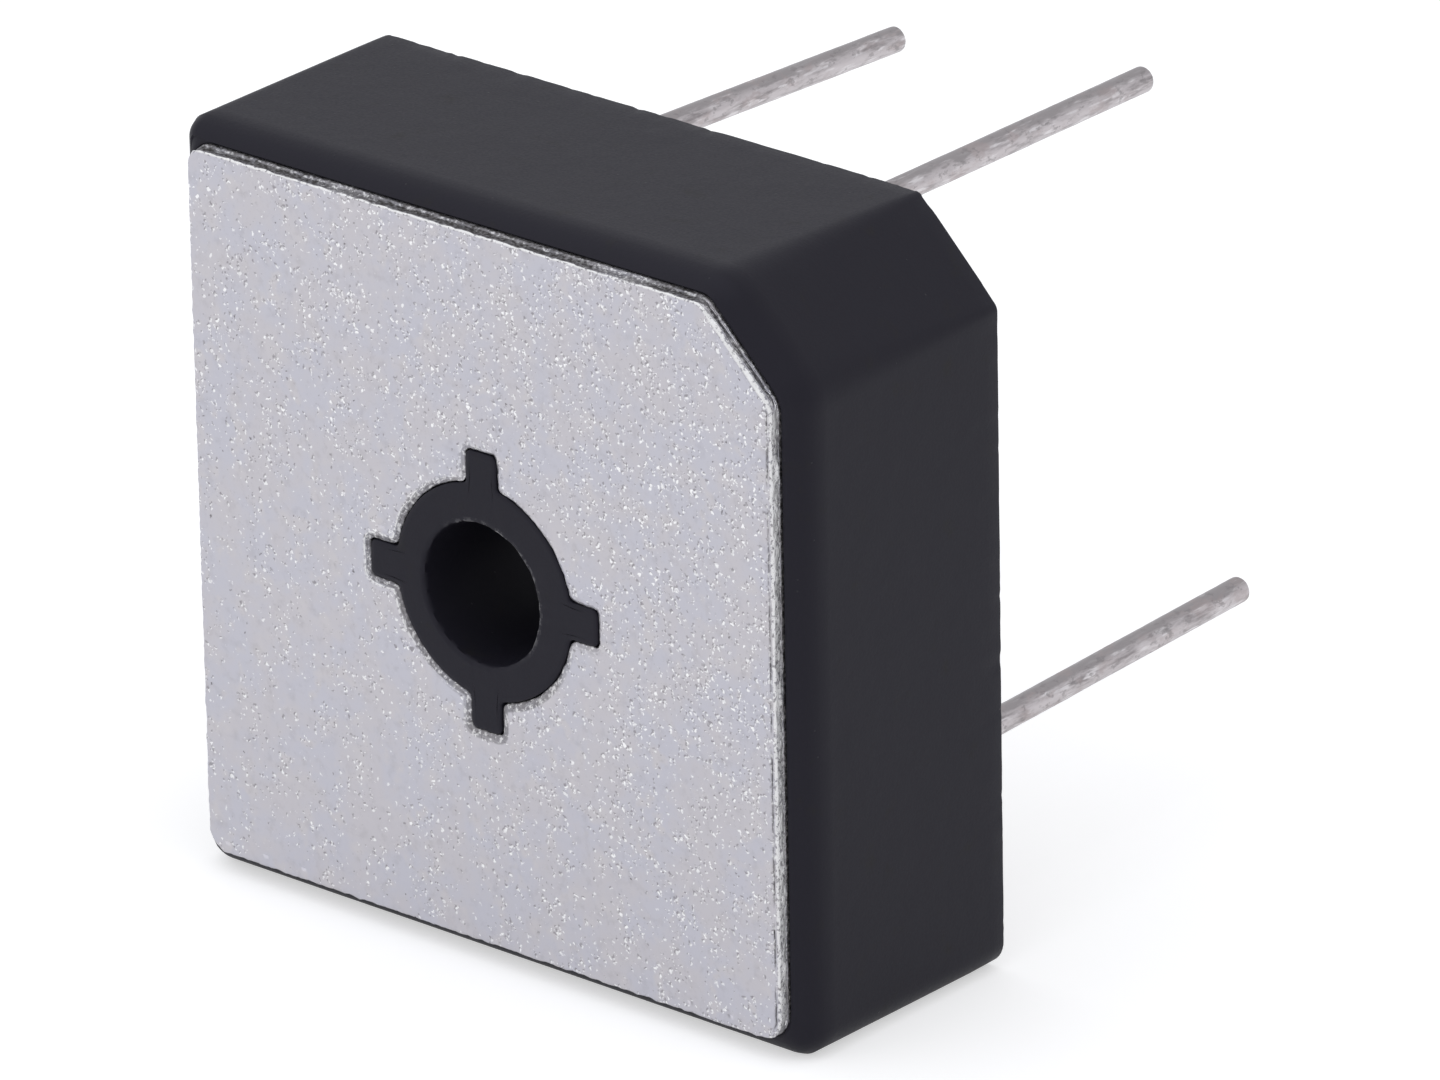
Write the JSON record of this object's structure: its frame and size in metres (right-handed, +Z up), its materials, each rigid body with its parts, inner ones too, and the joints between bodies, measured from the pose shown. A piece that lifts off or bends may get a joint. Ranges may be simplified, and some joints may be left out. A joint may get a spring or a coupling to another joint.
{
  "type": "bridge rectifier",
  "caption": "Square single-phase bridge rectifier with a metal base plate, a black moulded case, a central screw hole and round wire leads.",
  "frame": {"origin": "axis of the screw hole at the outer face of the base plate", "axes": "-Y out of the base plate, +Y along the leads, +Z up, cut corner with the plus lead at +X +Z"},
  "size_m": [0.0286, 0.034, 0.0286],
  "materials": {
    "moulding": "satin black moulding",
    "plate": "fine matt blasted metal",
    "ceramic": "bare alumina",
    "copper": "bare copper sheet",
    "silicon": "metallised silicon",
    "solder": "dull solder",
    "tinned_wire": "streaky hot-tinned wire",
    "epoxy": "cast epoxy"
  },
  "bodies": {
    "root": {"case": "moulding", "base_plate": "plate", "insulator": "ceramic", "plus_busbar": "copper", "minus_busbar": "copper", "lower_solder_1": "solder", "lower_solder_2": "solder", "lower_solder_3": "solder", "lower_solder_4": "solder", "diode_chip_1": "silicon", "diode_chip_2": "silicon", "diode_chip_3": "silicon", "diode_chip_4": "silicon", "upper_solder_1": "solder", "upper_solder_2": "solder", "upper_solder_3": "solder", "upper_solder_4": "solder", "ac_strap_1": "copper", "ac_strap_2": "copper", "plus_joint": "solder", "minus_joint": "solder", "ac_joint_1": "solder", "ac_joint_2": "solder", "lead_plus": "tinned_wire", "lead_minus": "tinned_wire", "lead_ac_1": "tinned_wire", "lead_ac_2": "tinned_wire", "potting_compound": "epoxy"}
  },
  "joints": []
}
